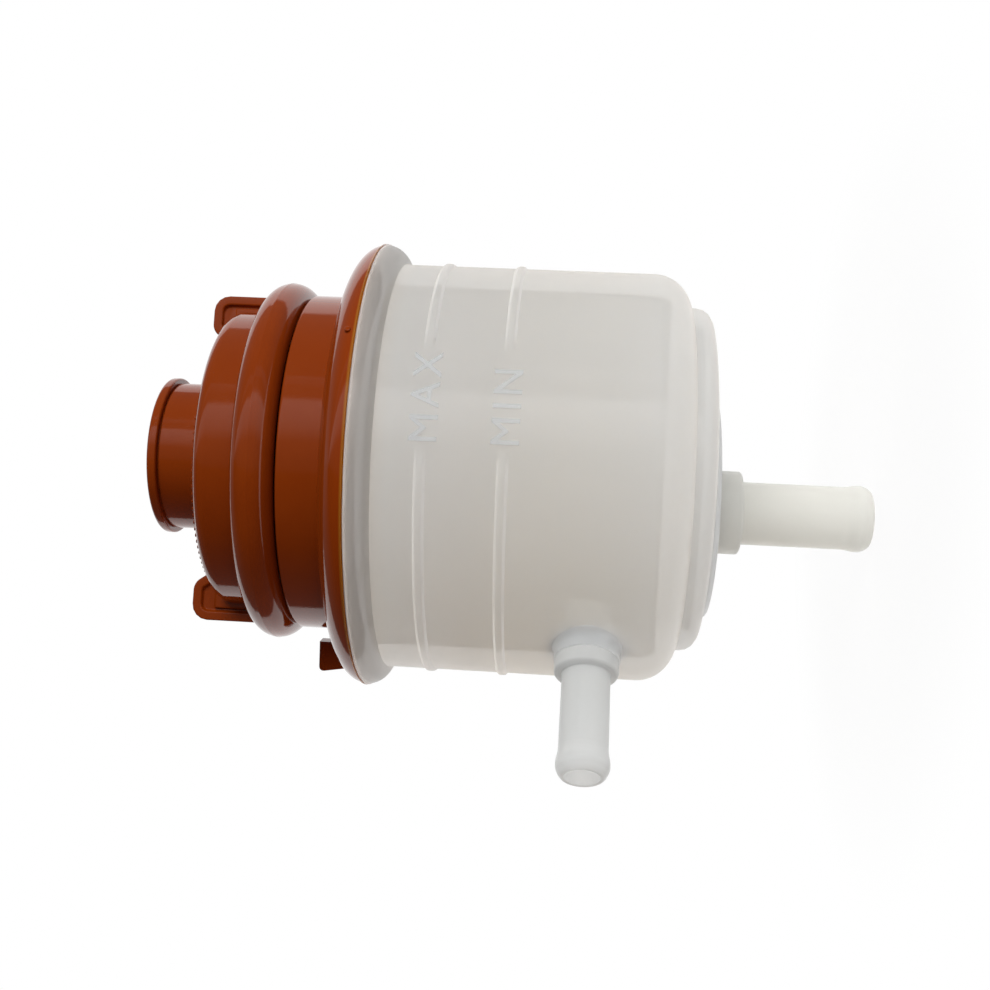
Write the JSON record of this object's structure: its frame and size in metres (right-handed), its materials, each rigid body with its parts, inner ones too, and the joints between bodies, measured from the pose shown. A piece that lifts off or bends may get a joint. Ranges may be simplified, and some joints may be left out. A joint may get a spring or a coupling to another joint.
{
  "type": "power steering reservoir",
  "caption": "Cylindrical translucent fluid reservoir with a coloured upper housing, twist-off cap with breather knob, level rings, and outlet and return hose nipples.",
  "frame": {"origin": "on the tank's axis, in the plane of the weld flange's underside, where the bracket's ring carries the tank", "axes": "+Z along the tank's axis towards the cap; the outlet is offset towards -X; the return nipple points between -X and -Y"},
  "size_m": [0.1249, 0.112, 0.1788],
  "materials": {
    "tank": "translucent moulded polyamide, satin",
    "housing": "glossy moulded, brown-orange",
    "cap": "glossy moulded, brown-orange",
    "suction_nipple": "moulded polyamide, cream white",
    "return_nipple": "moulded polyamide, bluish white",
    "inner_plastic": "natural polyamide",
    "rubber": "matte nitrile rubber",
    "felt": "pressed felt",
    "mesh": "woven nylon mesh",
    "steel": "zinc plated sheet and spring wire",
    "paper": "resin treated filter paper",
    "magnet": "sintered ferrite"
  },
  "bodies": {
    "tank": {"tank_shell": "tank", "upper_housing": "housing", "suction_nipple": "suction_nipple", "return_nipple": "return_nipple", "return_diffuser": "inner_plastic", "strainer_basket": "inner_plastic", "strainer_mesh": "mesh", "baffle_plate": "inner_plastic", "filter_spring": "steel", "ring_magnet": "magnet"},
    "gasket": {"cap_gasket": "rubber"},
    "cap": {"filler_cap": "cap", "breather_lid": "cap", "breather_felt": "felt", "breather_valve": "rubber", "splash_plate": "inner_plastic"},
    "filter": {"filter_top_plate": "steel", "filter_media": "paper", "filter_core": "steel", "filter_base_plate": "steel", "filter_grommet": "rubber"}
  },
  "joints": [
    {"name": "cap_lift", "type": "slide", "parent": "tank", "child": "gasket", "axis": [0, 0, 1], "range_m": [0, 0.00251]},
    {"name": "cap_turn", "type": "hinge", "parent": "gasket", "child": "cap", "pos_m": [0, 0, 0.03], "axis": [0, 0, 1], "range_deg": [0, 75]},
    {"name": "filter_lift", "type": "slide", "parent": "tank", "child": "filter", "axis": [0, 0, 1], "range_m": [0, 0.003], "deforming": ["filter_spring"]}
  ],
  "couplings": [
    {"joint": "cap_lift", "follows": "cap_turn", "m_per_rad": 0.0019099}
  ]
}
